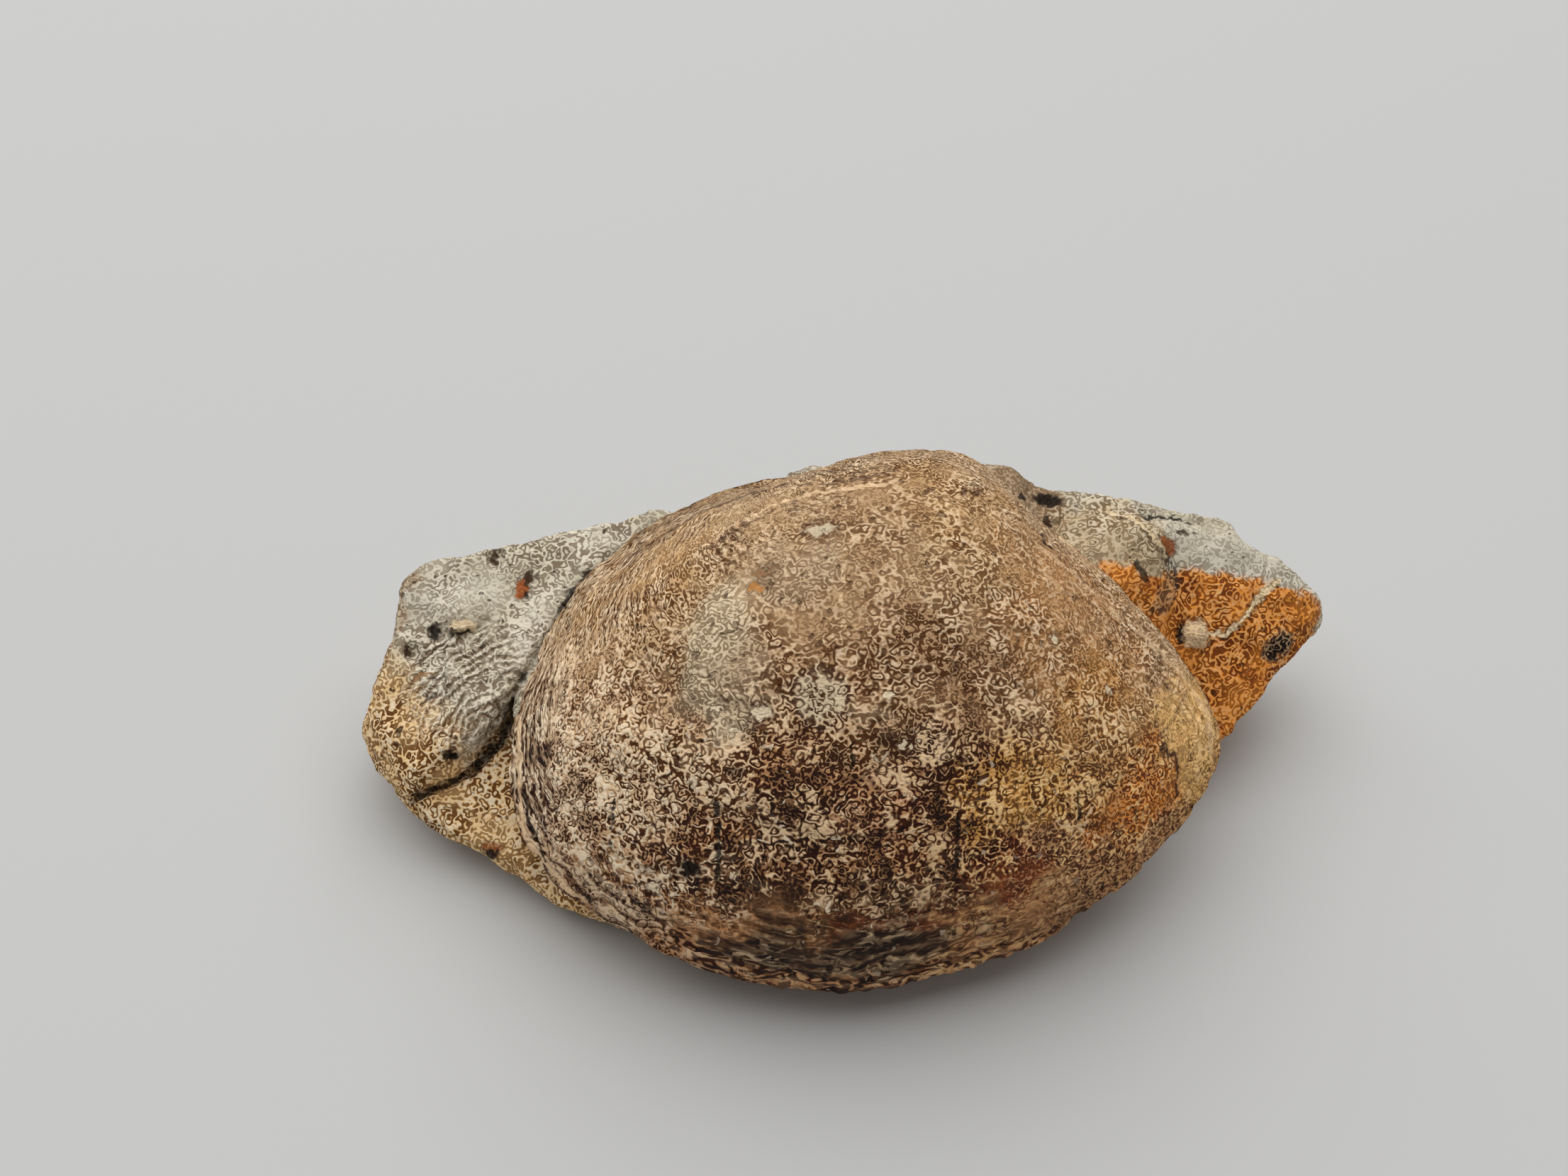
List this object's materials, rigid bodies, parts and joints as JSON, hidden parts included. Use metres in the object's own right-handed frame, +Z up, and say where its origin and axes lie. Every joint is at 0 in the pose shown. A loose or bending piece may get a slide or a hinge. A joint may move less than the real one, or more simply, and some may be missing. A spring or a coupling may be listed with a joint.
{
  "type": "fossil clam in matrix",
  "caption": "Whole fossil clam shell, both valves closed, lying in a broken wedge of its own rock and standing on a small flat spot of that rock.",
  "frame": {"origin": "on the flat spot of the rock that the specimen rests on", "axes": "+X from the shell's tail towards its beak end, +Y towards the back of the specimen behind the hinge, +Z up from the surface it rests on"},
  "size_m": [0.1151, 0.0607, 0.0458],
  "materials": {
    "fossil_shell": "satin mineralised shell, tan to brown with fine growth lines and flaked patches",
    "matrix_rock": "matt grey siltstone with rust-orange broken faces"
  },
  "bodies": {
    "root": {"clam_shell": "fossil_shell", "rock_matrix": "matrix_rock"}
  },
  "joints": []
}
